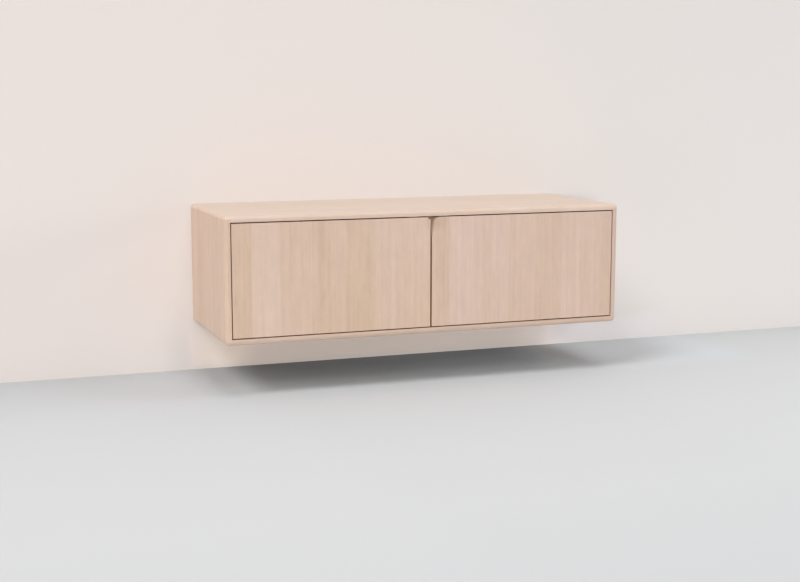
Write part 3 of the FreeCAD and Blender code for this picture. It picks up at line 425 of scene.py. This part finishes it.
# ---------------------------------------------------------------------- plastic
def plastic(name, base, rough, grain=900.0, depth=0.00004):
    """Moulded plastic with a fine eroded texture and slight flow marks."""
    s = Shader(name)
    p = s.coord.outputs["Object"]
    texture = s.noise(p, grain, 2.0, 0.6)
    flow = s.noise(p, 28.0, 2.0, 0.5, 0.8)
    dark = tuple(c * 0.93 for c in base[:3]) + (1.0,)
    colour = s.mix(s.band(flow, 0.3, 0.7), dark, base)
    r = s.add(rough, s.add(s.mul(s.add(texture, -0.5), 0.16), s.mul(s.add(flow, -0.5), 0.08)))
    return s.set(color=colour, rough=r, normal=s.bump(texture, depth, 0.5))


paint(plastic("white_plastic", (0.78, 0.77, 0.745, 1.0), 0.45), "left_magnet_catch", "right_magnet_catch")
paint(plastic("beige_plastic", (0.53, 0.40, 0.30, 1.0), 0.48), "left_cable_grommet", "right_cable_grommet")
paint(plastic("ferrite", (0.035, 0.034, 0.036, 1.0), 0.62, 1600.0, 0.00006), "catch_magnets")
bumper = plastic("clear_rubber", (0.72, 0.715, 0.70, 1.0), 0.30, 500.0, 0.00002)
bumper.node_tree.nodes["Principled BSDF"].inputs["Transmission Weight"].default_value = 0.35
paint(bumper, "door_bumpers")


# ------------------------------------------------------------------------ stage
FLOOR_Z = CAD_BOX[0].z - 0.1549


def flat(name, points, faces, material):
    mesh = bpy.data.meshes.new(name)
    mesh.from_pydata([Vector(p) for p in points], [], faces)
    o = bpy.data.objects.new(name, mesh)
    bpy.context.scene.collection.objects.link(o)
    mesh.materials.append(material)
    return o


def wall_with_recess(y, far, top):
    """The wall, open just inside the cabinet's outline, so that the cabinet's back can
    be lit and seen from behind."""
    (x0, z0), (x1, z1) = (CAD_BOX[0].x + 0.001, CAD_BOX[0].z + 0.001), (CAD_BOX[1].x - 0.001, CAD_BOX[1].z - 0.001)
    r, points, faces = 0.011, [], []
    inner, outer = [], []
    for cx, cz, start in ((x1 - r, z1 - r, 0), (x0 + r, z1 - r, 90), (x0 + r, z0 + r, 180), (x1 - r, z0 + r, 270)):
        corner = (far if cx > 0 else -far, y, top if cz > -0.1 else FLOOR_Z)
        for i in range(9):
            t = math.radians(start + i * 90 / 8)
            inner.append((cx + r * math.cos(t), y, cz + r * math.sin(t)))
            outer.append(corner)
    n = len(inner)
    points = inner + [outer[0], outer[9], outer[18], outer[27]]
    for i in range(n):
        j = (i + 1) % n
        a, b = n + i // 9, n + j // 9
        faces.append((a, b, j, i) if a != b else (a, j, i))
    return points, faces


def one_sided(name, colour_a, colour_b, axis, lo, hi, shade=None, patches=(), run="Y"):
    """A matt backdrop that is seen from its front only, so that the object can be
    looked at from behind it and from below. Each patch (x0, x1, soft, stops) paints light
    and shade into a soft-edged strip between x0 and x1, by stops of (place, colour) along run."""
    s = Shader(name)
    x, y, z = s.xyz()
    place = {"X": x, "Z": z, "Y": y}[axis]
    speck = s.noise(s.coord.outputs["Object"], 40.0, 3.0, 0.6)
    colour = s.mix(s.band(place, lo, hi), colour_a, colour_b)
    colour = s.mix(s.mul(s.add(speck, -0.5), 0.04), colour, grey(1.0))
    if shade:
        # painted shade: the surface darkens along one axis, by stops of (place, factor)
        along, stops = shade
        first, last = stops[0][0], stops[-1][0]
        t = s.band({"X": x, "Y": y, "Z": z}[along], first, last, smooth=False)
        tone = s.ramp(t, [((p - first) / (last - first), grey(v)) for p, v in stops])
        colour = s.mix(1.0, colour, tone, "MULTIPLY")
    # painted light and shade in soft-edged patches
    for x0, x1, soft, stops in patches:
        over = s.mul(s.band(x, x0 - soft, x0 + soft), s.band(x, x1 + soft, x1 - soft))
        first, last = stops[0][0], stops[-1][0]
        tint = s.ramp(s.band({"Y": y, "Z": z}[run], first, last, smooth=False), [((p - first) / (last - first), c) for p, c in stops])
        colour = s.mix(over, colour, s.mix(1.0, colour, tint, "MULTIPLY"))
    s.set(color=colour, rough=0.9, specular=0.1)
    geometry = s.tree.nodes.new("ShaderNodeNewGeometry")
    clear = s.tree.nodes.new("ShaderNodeBsdfTransparent")
    mixer = s.tree.nodes.new("ShaderNodeMixShader")
    s.tree.links.new(geometry.outputs["Backfacing"], mixer.inputs[0])
    s.tree.links.new(s.bsdf.outputs[0], mixer.inputs[1])
    s.tree.links.new(clear.outputs[0], mixer.inputs[2])
    s.tree.links.new(mixer.outputs[0], s.out.inputs[0])
    return s.mat


# the floor: painted shade darkening it towards the wall; under the cabinet a patch reshapes its shadow, painted shade
# near the wall and painted light further out, both cooler; a second patch paints light beside the shadow's right end
floor = flat("floor", [(-9, -9, FLOOR_Z), (9, -9, FLOOR_Z), (9, 6, FLOOR_Z), (-9, 6, FLOOR_Z)], [(0, 1, 2, 3)],
             one_sided("floor_paint", (0.680, 0.695, 0.708, 1.0), (0.680, 0.695, 0.708, 1.0), "X", -2.0, 2.0,
                       ("Y", [(-1.6, 0.90), (-1.2, 0.87), (-0.9, 0.84), (-0.56, 0.80), (-0.38, 0.76), (-0.23, 0.73),
                              (-0.12, 0.70), (-0.05, 0.67), (0.0, 0.64)]),
                       [(-0.49, 0.52, 0.12, [(-0.46, (0.99, 0.99, 0.99)), (-0.40, (1.08, 1.115, 1.135)), (-0.31, (1.084, 1.20, 1.25)),
                                             (-0.25, (1.045, 1.18, 1.265)), (-0.18, (0.985, 1.12, 1.23)), (-0.14, (0.893, 1.04, 1.152)),
                                             (-0.09, (0.768, 0.895, 1.0)), (-0.045, (0.670, 0.775, 0.86)), (0.0, (0.62, 0.70, 0.77)), (0.01, (1.0, 1.0, 1.0))]),
                        (0.61, 1.15, 0.10, [(-0.50, (1.0, 1.0, 1.0)), (-0.35, (1.04, 1.06, 1.08)), (-0.15, (1.075, 1.10, 1.13)),
                                            (0.0, (1.09, 1.115, 1.14)), (0.01, (1.0, 1.0, 1.0))])]))
# the wall: warmer towards the left as painted light; patches paint light on its foot below the cabinet, under the
# cabinet's left corner and, a little cooler, to its right
wall = flat("wall", *wall_with_recess(0.0006, 9.0, 5.0),
            one_sided("wall_paint", (0.722, 0.658, 0.626, 1.0), (0.68, 0.646, 0.624, 1.0), "X", -1.2, 1.3, None,
                      [(-0.58, 0.68, 0.08, [(-0.435, (1.27, 1.27, 1.25)), (-0.425, (1.19, 1.19, 1.17)), (-0.41, (1.07, 1.07, 1.06)),
                                            (-0.395, (1.01, 1.01, 1.01)), (-0.38, (0.97, 0.97, 0.97)), (-0.355, (1.0, 1.0, 1.0))]),
                       (-0.585, -0.45, 0.05, [(-0.435, (1.0, 1.0, 1.0)), (-0.41, (1.12, 1.11, 1.08)), (-0.38, (1.12, 1.11, 1.08)),
                                              (-0.33, (1.0, 1.0, 1.0))]),
                       (0.53, 1.05, 0.08, [(-0.435, (1.06, 1.06, 1.09)), (-0.41, (1.07, 1.07, 1.11)), (-0.38, (1.06, 1.06, 1.10)),
                                           (-0.33, (1.0, 1.0, 1.0))])], "Z"))

# what shows of the wall through the two cable outlets when the doors are open
outlets = []
for cx in (-0.30, 0.30):
    outlets += [(cx + dx, 0.0008, -0.20 + dz) for dx, dz in ((-0.09, -0.07), (0.09, -0.07), (0.09, 0.09), (-0.09, 0.09))]
outlet_wall = flat("outlet_wall", outlets, [(0, 1, 2, 3), (4, 5, 6, 7)], wall.data.materials[0])
outlet_wall.visible_shadow = outlet_wall.visible_diffuse = outlet_wall.visible_glossy = False


# ----------------------------------------------------------------- light, camera
def sun(name, elevation, azimuth, power, width=24.0, colour=(1, 1, 1)):
    """A distant soft light: azimuth 0 is straight in front of the cabinet, negative is to its left."""
    data = bpy.data.lights.new(name, "SUN")
    data.energy = power
    data.angle = math.radians(width)
    data.color = colour
    o = bpy.data.objects.new(name, data)
    e, a = math.radians(elevation), math.radians(azimuth)
    to = Vector((math.sin(a) * math.cos(e), -math.cos(a) * math.cos(e), math.sin(e)))
    o.rotation_euler = (-to).to_track_quat("-Z", "Y").to_euler()
    bpy.context.scene.collection.objects.link(o)
    return o


sun("left_key", 48.0, -60.0, 1.63)
sun("front_key", 38.0, 2.0, 0.72)
sun("overhead", 76.0, 0.0, 0.68)
sun("low_front", 3.0, -20.0, 0.98, 8.0)
sun("low_left", 38.0, -80.0, 0.14)
sun("right", 44.0, 70.0, 0.42)
# the two grazing lights would glare in the lacquer and on the steel
sun("low_right", 6.0, 80.0, 1.4).visible_glossy = False
sun("behind", 2.0, 180.0, 1.6).visible_glossy = False

# a narrow warm beam along the floor lifts the wall below the cabinet
kicker_data = bpy.data.lights.new("kicker", "AREA")
kicker_data.shape = "RECTANGLE"
kicker_data.size, kicker_data.size_y = 1.27, 0.125
kicker_data.energy = 0.106
kicker_data.color = (1.0, 0.79, 0.60)
kicker_data.spread = math.radians(7.0)
kicker = bpy.data.objects.new("kicker", kicker_data)
kicker.location = (0.0, -0.70, FLOOR_Z + 0.0745)
kicker.rotation_euler = (math.radians(90.0), 0.0, 0.0)
kicker.visible_camera = kicker.visible_glossy = False
bpy.context.scene.collection.objects.link(kicker)

world = bpy.data.worlds.new("studio")
bpy.context.scene.world = world
world.use_nodes = True
nt = world.node_tree
back = nt.nodes["Background"]
back.inputs[0].default_value = (1.0, 1.0, 1.0, 1.0)
path = nt.nodes.new("ShaderNodeLightPath")
strength = nt.nodes.new("ShaderNodeMapRange")
strength.inputs["To Min"].default_value = 0.04
strength.inputs["To Max"].default_value = 0.78
nt.links.new(path.outputs["Is Camera Ray"], strength.inputs["Value"])
nt.links.new(strength.outputs[0], back.inputs[1])

camera_data = bpy.data.cameras.new("camera")
camera = bpy.data.objects.new("camera", camera_data)
bpy.context.scene.collection.objects.link(camera)
camera_data.sensor_width = 36.0
camera_data.lens = 1347.9 / 800.0 * 36.0
camera_data.clip_start, camera_data.clip_end = 0.05, 60.0
camera.location = (-1.4583, -4.1626, 0.4402)
camera.rotation_euler = (math.radians(90.0 - 8.459), 0.0, math.radians(-20.159))
bpy.context.scene.camera = camera
bpy.context.scene.view_settings.view_transform = "Standard"
